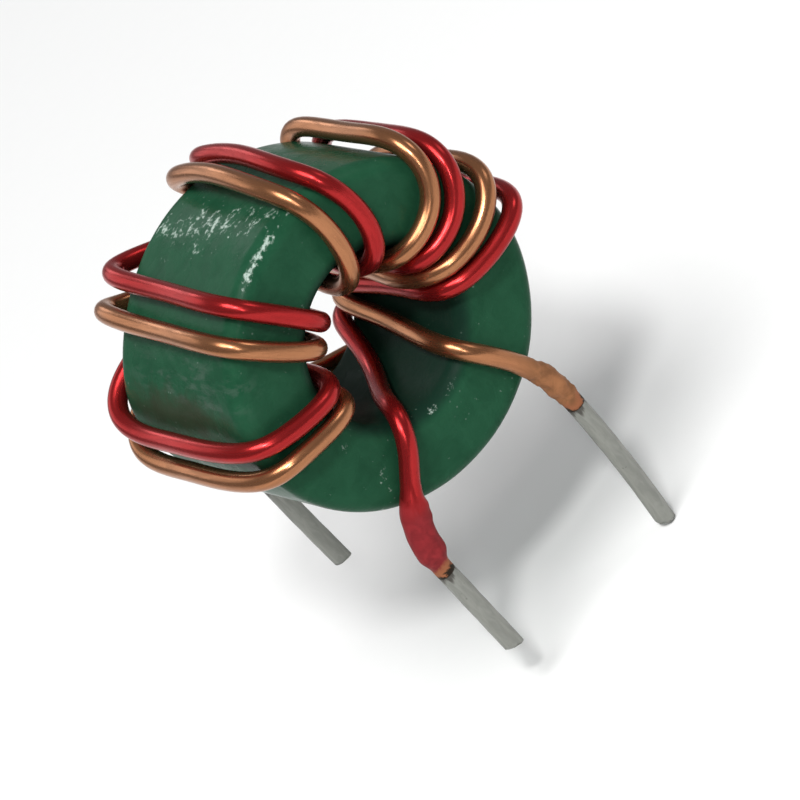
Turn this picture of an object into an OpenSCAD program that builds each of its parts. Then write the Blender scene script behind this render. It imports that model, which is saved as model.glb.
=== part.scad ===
// Common mode choke for a circuit board: a coated ferrite ring that stands on edge,
// wound with two enamelled wires side by side, with four tinned lead ends pointing down.
// The board's surface is z = 0 and the leads' pattern is centred on the origin.
// The ring's axis lies along Y, and the face at -Y is the front.
// Angles on the ring are in degrees from the top, clockwise as seen from the front.

/* [Ring] */
// Outside diameter of the bare ferrite ring
core_od = 18; // [17:0.1:20]
// Inside diameter of the bare ferrite ring
core_id = 10; // [9.6:0.1:11]
// Length of the bare ferrite ring along its axis
core_len = 10.5; // [8:0.1:12]
// Edge radius of the bare ferrite ring
core_edge = 0.6; // [0.4:0.05:0.8]
// Thickness of the epoxy coat on the ring
coat_t = 0.4; // [0.3:0.05:0.5]
// Height of the ring's centre above the board
ring_height = 11.5; // [11:0.1:13]
// Sideways place of the ring's centre from the middle of the leads
ring_shift = 0.8; // [0:0.1:1.2]

/* [Wire] */
// Diameter of the enamelled wire
wire_d = 1.1; // [0.9:0.02:1.14]
// Clearance between the wire and the coat
wire_gap = 0.06; // [0.04:0.01:0.1]
// Smallest clearance between neighbouring wires in the bore
turn_gap = 0.1; // [0.08:0.01:0.14]
// Diameter of a tinned lead end
lead_d = 1.08; // [0.9:0.02:1.12]

/* [Copper winding] */
// Bore places of the copper wire's passes, in wire pitches from the first pass
copper_slots = [1, 3, 5, 7.4, 10.85, 13.7]; // [0:0.05:14]
// Angles of its turns on the ring's rim
copper_rims = [79, 49.5, 5.5, -43, -88.5]; // [-180:0.5:180]
// Sideways bows of its runs over the front face, in degrees
copper_bows = [7, 13, 3, 0, 3]; // [-15:1:15]
// Share of each run over the back face in which it swings round to the rim's angle
copper_sweeps = [1, 0.85, 0.8, 0.6, 0.9]; // [0.5:0.05:1]
// Sideways hooks of its turns at the rim's back edge, in degrees
copper_hooks = [0, 0, -1, 4, 4]; // [-12:1:12]
// Slack of its turns at the rim's back edge
copper_backs = [0.2, 0, 0.1, 1.3, 1.5]; // [0:0.1:1.6]
// Slack of its turns at the middle of the rim
copper_arches = [0.6, 0.3, 0.8, 0.3, 0.8]; // [0:0.1:1.2]
// Slack of its turns at the rim's front edge
copper_fronts = [0.6, 0.3, 0.2, 0.2, 0.2]; // [0:0.1:1]
// Slack of its turns in the bore, near the front
copper_mouths = [0.5, 0.4, 1.1, 0.3, 0.2]; // [0:0.1:1.2]
// Angle at which its front lead comes out of the bore
copper_exit = 148; // [146:1:152]

/* [Red winding] */
// Bore places of the red wire's passes, in wire pitches from the first pass
red_slots = [0, 2, 4, 6.1, 9.75, 12.6]; // [0:0.05:14]
// Angles of its turns on the ring's rim
red_rims = [93, 60.5, 15, -31.5, -77]; // [-180:0.5:180]
// Sideways bows of its runs over the front face, in degrees
red_bows = [2, 11, 4, 0, -1]; // [-15:1:15]
// Share of each run over the back face in which it swings round to the rim's angle
red_sweeps = [1, 0.9, 0.9, 0.75, 0.9]; // [0.5:0.05:1]
// Sideways hooks of its turns at the rim's back edge, in degrees
red_hooks = [4, 0, -3, 4, 6]; // [-12:1:12]
// Slack of its turns at the rim's back edge
red_backs = [0.2, 0.2, 0.1, 1.1, 1.6]; // [0:0.1:1.6]
// Slack of its turns at the middle of the rim
red_arches = [1, 0.7, 0.7, 0.2, 0.8]; // [0:0.1:1.2]
// Slack of its turns at the rim's front edge
red_fronts = [0.9, 0.5, 0.2, 0.3, 0.2]; // [0:0.1:1]
// Slack of its turns in the bore, near the front
red_mouths = [0, 0, 0.5, 0.6, 0.3]; // [0:0.1:1.2]
// Angle at which its front lead comes out of the bore
red_exit = 217; // [212:1:220]
// Extra radius of the thick enamel at the end of its front lead
enamel_swell = 0.25; // [0:0.01:0.3]

/* [Turns] */
// Angle of the first pass at the back of the bore
first_pass = 144; // [140:1:148]
// Lean of the passes in the bore, from the back to the front, in degrees
bore_lean = -6; // [-8:0.5:0]
// Lean of the turns on the rim, from the back to the front, in degrees
rim_lean = -2; // [-6:0.5:0]
// Distance over which slack at the rim's edges dies away
slack_reach = 2.2; // [1.5:0.1:3]
// Distance over which slack at the middle of the rim dies away
arch_reach = 3.3; // [2.5:0.1:4]
// Distance over which slack in the bore dies away
mouth_reach = 2.4; // [1.5:0.1:3]
// Distance of the slack in the bore from the ring's middle, towards the front
mouth_depth = 3; // [2:0.1:4]
// Rounds of bending that stand for the wire's stiffness
stiff_rounds = 80; // [0:10:120]

/* [Leads] */
// Spacing of the leads across the ring
lead_pitch_x = 11.6; // [10.6:0.1:12.6]
// Height above the board at which the front leads' enamel ends
front_strip = 0.3; // [0.1:0.1:1]
// Height above the board at which the red rear lead's enamel ends
red_rear_strip = 3.8; // [2.5:0.1:4.5]
// Height above the board at which the copper rear lead's enamel ends
copper_rear_strip = 2; // [1.5:0.1:3]
// Length over which the red front lead rises straight up before it bends to the bore
red_rise = 3.1; // [2:0.1:4]
// Length over which the red front lead runs straight out of the bore
red_reach = 1.7; // [1:0.1:3]
// Length over which the copper front lead rises straight up before it bends to the bore
copper_rise = 2; // [1:0.1:3]
// Length over which the copper front lead runs straight out of the bore
copper_reach = 2.6; // [1:0.1:3]
// Length over which the red rear lead runs straight out of the bore
red_rear_reach = 2.2; // [1:0.1:3]
// Length over which the copper rear lead runs straight out of the bore
copper_rear_reach = 4; // [2:0.1:5]
// Length over which the rear leads come straight down to their strip lines
rear_fall = 4; // [2:0.1:5]
// Length of the red front lead below the board's surface
red_front_drop = 6.1; // [2:0.1:10]
// Length of the copper front lead below the board's surface
copper_front_drop = 8.8; // [2:0.1:12]
// Length of the red rear lead below the board's surface
red_rear_drop = 2; // [1.6:0.1:10]
// Length of the copper rear lead below the board's surface
copper_rear_drop = 3; // [1.6:0.1:10]
// Chamfer at the cut tip of each lead
tip_chamfer = 0.15; // [0.05:0.05:0.3]

/* [Hidden] */
ring_facets = 96;
wire_sides = 10;
bend_steps = 4;
face_steps = 5;
pass_steps = 12;
lead_steps = 16;
ease_back = 0.8;
held_points = 2;
wire_r = wire_d / 2;
wire_off = wire_r + wire_gap;
coat_outer = core_od / 2 + coat_t;
coat_inner = core_id / 2 - coat_t;
coat_len = core_len + 2 * coat_t;
coat_edge = core_edge + coat_t;
bend_r = coat_edge + wire_off;
face_y = coat_len / 2 + wire_off;
rim_r = coat_outer + wire_off;
bore_r = coat_inner - wire_off;
bend_y = coat_len / 2 - coat_edge;
outer_bend = coat_outer - coat_edge;
inner_bend = coat_inner + coat_edge;
bore_pitch = 2 * asin((wire_d + turn_gap) / 2 / bore_r);
lead_left = -lead_pitch_x / 2 - ring_shift;
lead_right = lead_pitch_x / 2 - ring_shift;
straight_end = 0.4;
taut = [0, 0, 0, 0];

// Small helpers for values and directions
function mix(a, b, t) = a + (b - a) * t;
function unit(v) = v / norm(v);
function eased(t, k) = (1 - k) * t + k * t * t * (3 - 2 * t);
function hump(t) = 16 * t * t * (1 - t) * (1 - t);
function radial(a) = [sin(a), 0, cos(a)];

// A point of the section [radius, depth], carried to the angle a on the ring
function on_ring(p, a) = [p[0] * sin(a), p[1], p[0] * cos(a)];

// Pieces of the wire's way round the ring's section, as [radius, depth]
function bend(c, from, to) = [
    for (i = [0:bend_steps])
        let (a = mix(from, to, i / bend_steps)) c + bend_r * [cos(a), sin(a)]
];
function between(p, q, steps) = [for (i = [1:steps - 1]) mix(p, q, i / steps)];
function front_way() = concat(
    bend([outer_bend, -bend_y], 0, -90),
    between([outer_bend, -face_y], [inner_bend, -face_y], face_steps),
    bend([inner_bend, -bend_y], -90, -180)
);
function back_way() = concat(
    bend([inner_bend, bend_y], 180, 90),
    between([inner_bend, face_y], [outer_bend, face_y], face_steps),
    bend([outer_bend, bend_y], 90, 0)
);
function bore_way() = between([bore_r, -bend_y], [bore_r, bend_y], pass_steps);
function rim_way() = between([rim_r, bend_y], [rim_r, -bend_y], pass_steps);

// Loose wire stands off the ring: a section point pushed away near four places.
// Slack is given at the rim's back edge, its middle and its front edge, and in the bore.
function push(p, place, toward, reach) = exp(-pow(norm(p - place) / reach, 2)) * unit(toward);
function loosened(p, slack) =
    p
    + slack[0] * push(p, [rim_r, face_y], [1, 1], slack_reach)
    + slack[1] * push(p, [rim_r, 0], [1, 0], arch_reach)
    + slack[2] * push(p, [rim_r, -face_y], [1, -1], slack_reach)
    + slack[3] * push(p, [bore_r, -mouth_depth], [-1, 0], mouth_reach);

// A way carried round the ring from one angle to another, with a sideways bow
function carried(way, from, to, ease = 0, bow = 0, slack = taut) = [
    for (i = [0:len(way) - 1])
        let (t = i / (len(way) - 1))
            on_ring(loosened(way[i], slack), mix(from, to, eased(t, ease)) + bow * hump(t))
];

// The way over the back face: it swings round near the bore and may hook at the rim
function swept(from, to, sweep, hook, slack) =
    let (way = back_way(), last = len(way) - 1)
    [
        for (i = [0:last])
            let (
                swing = min(1, i / last / sweep),
                near_rim = max(0, 2 * i / last - 1)
            )
                on_ring(
                    loosened(way[i], slack),
                    mix(from, to, eased(swing, ease_back)) + hook * hump(near_rim)
                )
    ];

// The inner points of a way, spread evenly between two angles
function spread(way, from, to, slack = taut) = [
    for (i = [0:len(way) - 1])
        on_ring(loosened(way[i], slack), mix(from, to, (i + 1) / (len(way) + 1)))
];

// Stiffness: each round evens out a path's bends, then lifts it off the coat where it came too close
function unbent(path) = [
    for (i = [0:len(path) - 1])
        i < held_points || i >= len(path) - held_points
            ? path[i]
            : (10 * path[i] + 4 * (path[i - 1] + path[i + 1]) - path[i - 2] - path[i + 2]) / 16
];
function lifted(p) =
    let (
        radius = norm([p[0], p[2]]),
        across = radius - (coat_outer + coat_inner) / 2,
        past = [
            abs(across) - (coat_outer - coat_inner) / 2 + coat_edge,
            abs(p[1]) - bend_y
        ],
        clear = [max(past[0], 0), max(past[1], 0)],
        away = norm(clear) + min(max(past[0], past[1]), 0) - coat_edge,
        need = max(0, wire_off - away),
        out = norm(clear) > 0 ? clear / norm(clear) : [0, 0],
        grow = 1 + need * out[0] * sign(across) / radius
    )
    [p[0] * grow, p[1] + need * out[1] * sign(p[1]), p[2] * grow];
function relaxed(path, rounds) =
    rounds == 0 ? path : relaxed([for (p = unbent(path)) lifted(p)], rounds - 1);

// A smooth curve between two points with two handles
function curve(a, b, c, d, steps) = [
    for (i = [0:steps])
        let (t = i / steps, s = 1 - t)
            s * s * s * a + 3 * s * s * t * b + 3 * s * t * t * c + t * t * t * d
];

function pass_angle(slot) = first_pass - slot * bore_pitch;

// One turn: over the back, along the rim, over the front and back through the bore
function turn(from, rim, to, bow, sweep, hook, slack) = concat(
    swept(from, rim - rim_lean / 2, sweep, hook, slack),
    spread(rim_way(), rim - rim_lean / 2, rim + rim_lean / 2, slack),
    carried(front_way(), rim + rim_lean / 2, to + bore_lean, 1, bow, slack),
    spread(bore_way(), to + bore_lean, to, slack)
);

// The wound part of a wire, from its front lead's way into the bore to its last pass
function wound(slots, rims, bows, sweeps, hooks, slacks, lead_angle) = concat(
    carried(bend([inner_bend, -bend_y], -90, -180), lead_angle, lead_angle),
    spread(bore_way(), lead_angle, pass_angle(slots[0])),
    [
        for (k = [0:len(rims) - 1])
            let (from = pass_angle(slots[k]), to = pass_angle(slots[k + 1]))
                each turn(
                    from, rims[k], to, bows[k], sweeps[k], hooks[k],
                    [for (values = slacks) values[k]]
                )
    ]
);

// The stretch from a front lead's strip line up to the edge of the bore
function front_lead(x, strip, lead_angle, rise, reach) =
    let (
        tip = [x, -face_y, strip],
        foot = tip + [0, 0, straight_end],
        edge = on_ring([inner_bend, -face_y], lead_angle)
    )
    concat(
        [tip],
        curve(foot, foot + [0, 0, rise], edge + reach * radial(lead_angle), edge, lead_steps)
    );

// The stretch of the red wire from its last pass down the back of the ring
function red_rear(last) =
    let (
        tip = [lead_left, face_y, red_rear_strip - ring_height],
        foot = tip + [0, 0, straight_end],
        edge = on_ring([inner_bend, face_y], last),
        out = edge + red_rear_reach * radial(last),
        above = foot + [0, 0, rear_fall],
        way = bend([inner_bend, bend_y], 180, 90)
    )
    concat(
        carried(way, last, last),
        [for (i = [1:lead_steps]) curve(edge, out, above, foot, lead_steps)[i]],
        [tip]
    );

// The stretch of the copper wire from its last pass, under the hole, to the other side
function copper_rear(last) =
    let (
        tip = [lead_right, face_y, copper_rear_strip - ring_height],
        foot = tip + [0, 0, straight_end],
        mouth = on_ring([bore_r, bend_y], last),
        aim = unit([0.35, 0, -0.94]),
        edge = mouth + bend_r * aim + [0, bend_r, 0],
        out = edge + copper_rear_reach * aim,
        above = foot + [0, 0, rear_fall]
    )
    concat(
        [
            for (i = [0:bend_steps])
                let (a = 90 * i / bend_steps)
                    mouth + bend_r * (1 - cos(a)) * aim + [0, bend_r * sin(a), 0]
        ],
        [for (i = [1:lead_steps]) curve(edge, out, above, foot, lead_steps)[i]],
        [tip]
    );

// Sweep of a round wire along a path, with a radius for each point
function heading(path, i) = unit(path[min(i + 1, len(path) - 1)] - path[max(i - 1, 0)]);
function squared(v, along) = unit(v - (v * along) * along);
function sides_of(path) = [
    for (
        i = 0, v = squared([0, 1, 0], heading(path, 0));
        i < len(path);
        i = i + 1, v = i < len(path) ? squared(v, heading(path, i)) : v
    ) v
];

module wire(path, radii) {
    last = len(path) - 1;
    normals = sides_of(path);
    points = [
        for (i = [0:last])
            let (m = normals[i], b = cross(heading(path, i), m))
                for (k = [0:wire_sides - 1])
                    let (a = 360 * k / wire_sides) path[i] + radii[i] * (cos(a) * m + sin(a) * b)
    ];
    walls = [
        for (i = [0:last - 1])
            for (k = [0:wire_sides - 1])
                let (
                    a = i * wire_sides + k,
                    b = i * wire_sides + (k + 1) % wire_sides,
                    c = b + wire_sides,
                    d = a + wire_sides
                )
                    each [[a, c, b], [a, d, c]]
    ];
    start_cap = [for (k = [0:wire_sides - 1]) k];
    end_cap = [for (k = [wire_sides - 1:-1:0]) last * wire_sides + k];
    polyhedron(points, concat(walls, [start_cap, end_cap]));
}

// A ring with rounded edges, its axis along Y
module rounded_ring(inner, outer, length, edge) {
    rotate([90, 0, 0])
        rotate_extrude($fn = ring_facets)
            translate([(inner + outer) / 2, 0])
                rounded_section(outer - inner, length, edge);
}

module rounded_section(width, length, edge) {
    square([width - 2 * edge, length], center = true);
    square([width, length - 2 * edge], center = true);
    for (x = [-1, 1], y = [-1, 1])
        translate([x * (width / 2 - edge), y * (length / 2 - edge)])
            circle(edge, $fn = 32);
}

module bare_ring() {
    rounded_ring(core_id / 2, core_od / 2, core_len, core_edge);
}

module at_ring() {
    translate([ring_shift, 0, ring_height]) children();
}

// A tinned lead end from its strip line down to its cut tip
module lead_end(x, y, top, drop) {
    lead_r = lead_d / 2;
    translate([x, y, 0])
        rotate_extrude($fn = 32)
            polygon([
                [0, top],
                [lead_r, top],
                [lead_r, tip_chamfer - drop],
                [lead_r - tip_chamfer, -drop],
                [0, -drop]
            ]);
}

module ferrite_core() {
    color("#2b2b2d") at_ring() bare_ring();
}

module epoxy_coat() {
    color("#1f6b48")
        at_ring()
            difference() {
                rounded_ring(coat_inner, coat_outer, coat_len, coat_edge);
                bare_ring();
            }
}

module red_winding() {
    lead = front_lead(lead_left, front_strip - ring_height, red_exit, red_rise, red_reach);
    coil = wound(
        red_slots, red_rims, red_bows, red_sweeps, red_hooks,
        [red_backs, red_arches, red_fronts, red_mouths], red_exit
    );
    rear = red_rear(pass_angle(red_slots[len(red_slots) - 1]));
    path = relaxed(concat(lead, [for (i = [1:len(coil) - 1]) coil[i]], rear), stiff_rounds);
    swell_top = -0.78 * coat_outer;
    swell_mid = front_strip - ring_height + 1.4;
    radii = [
        for (i = [0:len(path) - 1])
            wire_r + (i < len(lead) ? enamel_swell * swelling(path[i][2], swell_top, swell_mid) : 0)
    ];
    color("#a3262a") at_ring() wire(path, radii);
}

// Thick enamel between two heights, rounded off at both ends
function swelling(z, top, mid) =
    let (half = top - mid, t = max(-1, min(1, (z - mid) / half))) 1 - t * t * t * t;

module copper_winding() {
    lead = front_lead(
        lead_right, front_strip - ring_height, copper_exit, copper_rise, copper_reach
    );
    coil = wound(
        copper_slots, copper_rims, copper_bows, copper_sweeps, copper_hooks,
        [copper_backs, copper_arches, copper_fronts, copper_mouths], copper_exit
    );
    rear = copper_rear(pass_angle(copper_slots[len(copper_slots) - 1]));
    path = relaxed(concat(lead, [for (i = [1:len(coil) - 1]) coil[i]], rear), stiff_rounds);
    color("#b5713c") at_ring() wire(path, [for (p = path) wire_r]);
}

module red_front_lead() {
    color("silver") lead_end(-lead_pitch_x / 2, -face_y, front_strip, red_front_drop);
}

module copper_front_lead() {
    color("silver") lead_end(lead_pitch_x / 2, -face_y, front_strip, copper_front_drop);
}

module red_rear_lead() {
    color("silver") lead_end(-lead_pitch_x / 2, face_y, red_rear_strip, red_rear_drop);
}

module copper_rear_lead() {
    color("silver") lead_end(lead_pitch_x / 2, face_y, copper_rear_strip, copper_rear_drop);
}

ferrite_core();
epoxy_coat();
red_winding();
copper_winding();
red_front_lead();
copper_front_lead();
red_rear_lead();
copper_rear_lead();
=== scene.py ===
import math
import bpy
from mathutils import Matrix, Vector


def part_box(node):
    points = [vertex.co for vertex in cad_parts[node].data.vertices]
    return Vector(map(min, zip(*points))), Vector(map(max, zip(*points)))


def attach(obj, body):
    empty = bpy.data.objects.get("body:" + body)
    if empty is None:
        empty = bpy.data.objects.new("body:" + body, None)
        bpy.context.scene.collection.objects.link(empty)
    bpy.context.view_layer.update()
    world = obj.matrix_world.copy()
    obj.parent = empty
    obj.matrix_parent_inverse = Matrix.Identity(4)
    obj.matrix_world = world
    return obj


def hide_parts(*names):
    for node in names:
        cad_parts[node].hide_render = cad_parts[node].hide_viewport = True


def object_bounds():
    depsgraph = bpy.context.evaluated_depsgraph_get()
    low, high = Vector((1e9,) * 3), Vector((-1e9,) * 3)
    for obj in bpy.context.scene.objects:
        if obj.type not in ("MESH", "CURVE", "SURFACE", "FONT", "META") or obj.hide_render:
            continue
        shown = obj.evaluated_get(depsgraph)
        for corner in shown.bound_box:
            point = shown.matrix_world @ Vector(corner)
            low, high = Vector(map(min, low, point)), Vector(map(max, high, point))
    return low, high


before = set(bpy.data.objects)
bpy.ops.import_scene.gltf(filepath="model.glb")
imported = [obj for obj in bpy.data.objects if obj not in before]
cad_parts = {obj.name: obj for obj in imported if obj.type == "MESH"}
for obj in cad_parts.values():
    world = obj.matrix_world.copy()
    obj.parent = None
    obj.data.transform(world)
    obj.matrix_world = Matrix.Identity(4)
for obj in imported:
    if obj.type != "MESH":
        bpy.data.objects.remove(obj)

from types import SimpleNamespace

import bmesh
import bpy
from bpy.props import FloatProperty, FloatVectorProperty, PointerProperty
from mathutils import Matrix, Vector, kdtree, noise

bl_info = {
    "name": "Common mode choke",
    "version": (1, 0, 0),
    "blender": (4, 5, 0),
    "location": "3D View > Sidebar > Choke",
    "description": "Dresses a ring choke: lumpy coat, two enamelled wires and tinned leads",
    "category": "Object",
}

CAD_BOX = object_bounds()
MM = 0.001
COAT_LOW, COAT_HIGH = (Vector(corner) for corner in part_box("epoxy_coat"))
CORE_LOW, CORE_HIGH = (Vector(corner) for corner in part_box("ferrite_core"))
UP = Vector((0, 0, 1))

# Turns of each wire: places in the bore in wire pitches, angles on the rim and sideways bows
# over the front in degrees, the share of the back run that swings round, hooks at the back
# edge in degrees, slack in millimetres at the rim's back edge, its middle and its front edge and
# in the bore, and the front lead's angle at the bore with its curve's handles in millimetres
RED_TURNS = SimpleNamespace(
    slots=(0, 2, 4, 6.1, 9.75, 12.6),
    rims=(93, 60.5, 15, -31.5, -77),
    bows=(2, 11, 4, 0, -1),
    sweeps=(1, 0.9, 0.9, 0.75, 0.9),
    hooks=(4, 0, -3, 4, 6),
    backs=(0.2, 0.2, 0.1, 1.1, 1.6),
    arches=(0.8, 0.45, 0.7, 0.2, 0.8),
    fronts=(0.9, 0.5, 0.2, 0.3, 0.2),
    mouths=(0, 0, 0.5, 0.6, 0.3),
    exit=217,
    rise=3.1,
    reach=1.7,
)
COPPER_TURNS = SimpleNamespace(
    slots=(1, 3, 5, 7.4, 10.85, 13.7),
    rims=(79, 49.5, 5.5, -43, -88.5),
    bows=(7, 13, 3, 0, 3),
    sweeps=(1, 0.85, 0.8, 0.6, 0.9),
    hooks=(0, 0, -1, 4, 4),
    backs=(0.2, 0, 0.1, 1.3, 1.5),
    arches=(0.35, 0.24, 0.8, 0.3, 0.8),
    fronts=(0.6, 0.3, 0.2, 0.2, 0.2),
    mouths=(0.5, 0.4, 1.1, 0.3, 0.2),
    exit=148,
    rise=2,
    reach=2.6,
)

# The way of the wires, with angles in degrees
TAUT = (0, 0, 0, 0)
FIRST_PASS = 144
BORE_LEAN = -6
RIM_LEAN = -2
EASE_BACK = 0.8
SLACK_REACH = 2.2 * MM
ARCH_REACH = 3.3 * MM
MOUTH_REACH = 2.4 * MM
MOUTH_DEPTH = 3 * MM
STRAIGHT_END = 0.4 * MM
REAR_FALL = 4 * MM
RED_REAR_RUN = 2.2 * MM
COPPER_REAR_RUN = 4 * MM
COPPER_REAR_AIM = Vector((0.35, 0, -0.94)).normalized()
STIFF_ROUNDS = 80
HELD_POINTS = 2

# Enamel near the strip lines, in millimetres: how far the lumps of the front leads reach, and the
# head start of the rear ends, which aren't charred
LUMPY_LENGTH = 6
REAR_END_GAP = 0.6
# Nodules on the red front lead, in millimetres: the place along the wire from its strip line, the
# width and the thickness
RED_BEADS = ((4.35, 0.26, 0.28), (3.6, 0.24, 0.17), (1.75, 0.45, 0.08), (5.3, 0.3, 0.06))
BEAD_SIDE = Vector((0.74, -0.67, 0))
BEAD_ARC = 0.6 * MM

# Tinned ends: how far each tip is bent aside in millimetres, and the way its cut faces
LEAD_ENDS = {
    "red_front": ((0, 0, 0), (0.35, 0.2, 0.9)),
    "copper_front": ((-0.55, 0, 0), (0.3, -0.2, 0.9)),
    "red_rear": ((0.1, 0, 0), (0.2, 0.3, 0.95)),
    "copper_rear": ((0.05, 0.05, 0), (-0.2, 0.2, 0.95)),
}
REAR_DIP = 1.0 * MM
TIN_OVERLAP = 0.35 * MM
TIP_CUT = 0.22 * MM

# The coat: its clearance where a wire presses into it, and its marks, each with the angle on the
# ring in degrees and the radius and depth in millimetres
BED_GAP = 0.025 * MM
# The dark brown patch on the rim, above the last turns on the left.
DARK_PATCH = (-71, 9.4, 1.2)
# Place of the pale grey-green streaks on the rim.
VEIL = (-60, 9.4, -1.0)
SMEAR = (-150, 4.6, -1.0)
SQUEEZE = 0.3

# How finely paths and meshes are cut; in the coat's section, edges over a length get so many cuts
BEND_STEPS = 4
FACE_STEPS = 5
PASS_STEPS = 12
LEAD_STEPS = 16
PATH_CUTS = 6
WIRE_STEP = 0.2 * MM
TIN_STEP = 0.15 * MM
WIRE_SIDES = 24
EDGE_STEPS = 8
TIP_STEPS = 3
SECTION_CUTS = ((5 * MM, 60), (2 * MM, 20))
COAT_STEPS = 400
WALL_STEPS = 96
MERGE = 1e-7

# Lights: place and diameter in metres, and power in watts
LIGHTS = {
    "key": ((-0.13, -0.12, 0.46), 0.24, 1.32),
    "spark": ((-0.11, -0.28, 0.40), 0.07, 0.95),
    "low_spark": ((-0.14, -0.41, 0.28), 0.05, 0.32),
    "back": ((0.09, 0.42, 0.26), 0.14, 0.12),
    "window": ((-0.145, 0.437, 0.252), 0.34, 0.32),
    "side": ((0.40, -0.16, 0.30), 0.16, 0.2),
}
DAYLIGHT = (0.95, 0.97, 1.0, 1)
DAYLIGHT_STRENGTH = 0.27
SENSOR_WIDTH = 36
FLOOR_RADIUS = 1.5


def length_value(name, description, millimetres):
    return FloatProperty(
        name=name, description=description, default=millimetres * MM, min=0, unit="LENGTH", precision=5
    )


def angle_value(name, description, degrees):
    return FloatProperty(
        name=name, description=description, default=math.radians(degrees), unit="ROTATION"
    )


def colour_value(name, description, colour):
    return FloatVectorProperty(
        name=name, description=description, default=colour, size=3, min=0, max=1, subtype="COLOR"
    )


class ChokeRing(bpy.types.PropertyGroup):
    """Sizes and colours of the coated ring."""

    centre: FloatVectorProperty(
        name="Centre",
        description="Middle of the ring",
        default=(COAT_LOW + COAT_HIGH) / 2,
        subtype="TRANSLATION",
        unit="LENGTH",
    )
    outer: FloatProperty(
        name="Outer radius",
        description="Radius of the coated ring",
        default=(COAT_HIGH.x - COAT_LOW.x) / 2,
        unit="LENGTH",
    )
    length: FloatProperty(
        name="Length",
        description="Length of the coated ring along its axis",
        default=COAT_HIGH.y - COAT_LOW.y,
        unit="LENGTH",
    )
    inner: length_value("Inner radius", "Radius of the coated bore", 4.6)
    edge: length_value("Edge radius", "Rounding of the coat's edges", 1.0)
    lumps: length_value("Lumps", "Height of the coat's lumps and dents", 0.06)
    green: colour_value("Green", "Colour of the epoxy", (0.0145, 0.073, 0.036))
    deep_green: colour_value("Deep green", "Colour of the thicker epoxy", (0.011, 0.059, 0.029))
    # Colour of a dark brown patch on the rim, above the last turns on the left, where the coat is also
    # rougher.
    dark_patch: colour_value("Stain", "Colour of the scorched varnish", (0.040, 0.036, 0.022))
    # Colour of pale grey-green streaks across the rim, above the dark patch.
    veil: colour_value("Veil", "Colour of the thin varnish above the stain", (0.085, 0.125, 0.10))
    # Painted shade: the dark colour that the walls of the bore are tinted towards, standing in for the
    # shade in the bore.
    bore: colour_value("Bore", "Colour of the epoxy inside the bore", (0.006, 0.016, 0.013))
    smear: colour_value("Smear", "Colour of the varnish smeared in the bore", (0.07, 0.075, 0.066))
    dust: colour_value("Dust", "Colour of the dust on the epoxy", (0.24, 0.32, 0.27))
    # Pale scuffs, which also serve as painted glints and highlights on the rim, its front ridge, the
    # bore's mouth and the face.
    scuffs_and_glints: colour_value("Scuffs", "Colour of the scuffed epoxy", (0.46, 0.57, 0.5))
    ferrite: colour_value("Ferrite", "Colour of the bare core", (0.02, 0.019, 0.02))
    ferrite_pits: colour_value("Ferrite pits", "Colour of the core's pits", (0.006, 0.006, 0.006))


class ChokeWire(bpy.types.PropertyGroup):
    """Sizes and colours of the enamelled wires."""

    diameter: length_value("Wire diameter", "Diameter of the enamelled wire", 1.1)
    gap: length_value("Gap", "Clearance between the wire and the coat", 0.06)
    turn_gap: length_value("Turn gap", "Smallest clearance between wires in the bore", 0.1)
    drip: length_value("Drip", "Extra radius of the thick enamel on the red front lead", 0.27)
    blister: length_value("Blister", "Extra radius of the blistered enamel on the copper lead", 0.08)
    red: colour_value("Red", "Colour of the red enamel", (0.40, 0.022, 0.023))
    copper: colour_value("Copper", "Colour of the clear enamelled copper", (0.42, 0.18, 0.084))
    dull_red: colour_value("Dull red", "Colour of the thick red enamel", (0.235, 0.02, 0.024))
    dull_copper: colour_value("Dull copper", "Colour of the blistered enamel", (0.29, 0.125, 0.055))
    scorched: colour_value("Scorched", "Colour of enamel close to a strip line", (0.30, 0.11, 0.05))
    char: colour_value("Char", "Colour of the burnt rim of the enamel", (0.022, 0.015, 0.009))


class ChokeLeads(bpy.types.PropertyGroup):
    """Sizes and colours of the tinned lead ends."""

    diameter: length_value("Lead diameter", "Diameter of a tinned lead end", 1.1)
    tip_edge: length_value("Tip edge", "Bevel round the cut tip", 0.12)
    tin: colour_value("Tin", "Colour of the dull tin", (0.275, 0.28, 0.252))
    dark_tin: colour_value("Dark tin", "Colour of the tin's grey patches", (0.225, 0.23, 0.207))
    pits: colour_value("Pits", "Colour of the pits in the tin", (0.07, 0.07, 0.062))


class ChokeStage(bpy.types.PropertyGroup):
    """The floor's colour and the camera."""

    floor: colour_value("Floor", "Colour of the floor", (0.93, 0.93, 0.92))
    azimuth: angle_value("Azimuth", "Camera's turn from the front", -18.4)
    elevation: angle_value("Elevation", "Camera's height angle", 28.7)
    roll: angle_value("Roll", "Camera's turn about its sight line", -42.63)
    distance: length_value("Distance", "From the camera to the point it looks at", 260)
    view_width: length_value("View width", "Width of the picture at that point", 42.19)
    aim: FloatVectorProperty(
        name="Aim",
        description="The point that the camera looks at",
        default=(0.0, -2.47 * MM, 6.75 * MM),
        subtype="TRANSLATION",
        unit="LENGTH",
    )


def mix(a, b, t):
    return a + (b - a) * t


def eased(t, k):
    return (1 - k) * t + k * t * t * (3 - 2 * t)


def hump(t):
    return 16 * t * t * (1 - t) * (1 - t)


def smooth_step(low, high, value):
    t = min(1.0, max(0.0, (value - low) / (high - low)))
    return t * t * (3 - 2 * t)


def bell(value, middle, width):
    return math.exp(-(((value - middle) / width) ** 2))


def radial(angle):
    a = math.radians(angle)
    return Vector((math.sin(a), 0, math.cos(a)))


def curve(a, b, c, d, steps):
    """Points of a smooth curve between a and d with the handles b and c."""
    points = []
    for i in range(steps + 1):
        t = i / steps
        s = 1 - t
        points.append(s * s * s * a + 3 * s * s * t * b + 3 * s * t * t * c + t * t * t * d)
    return points


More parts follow.
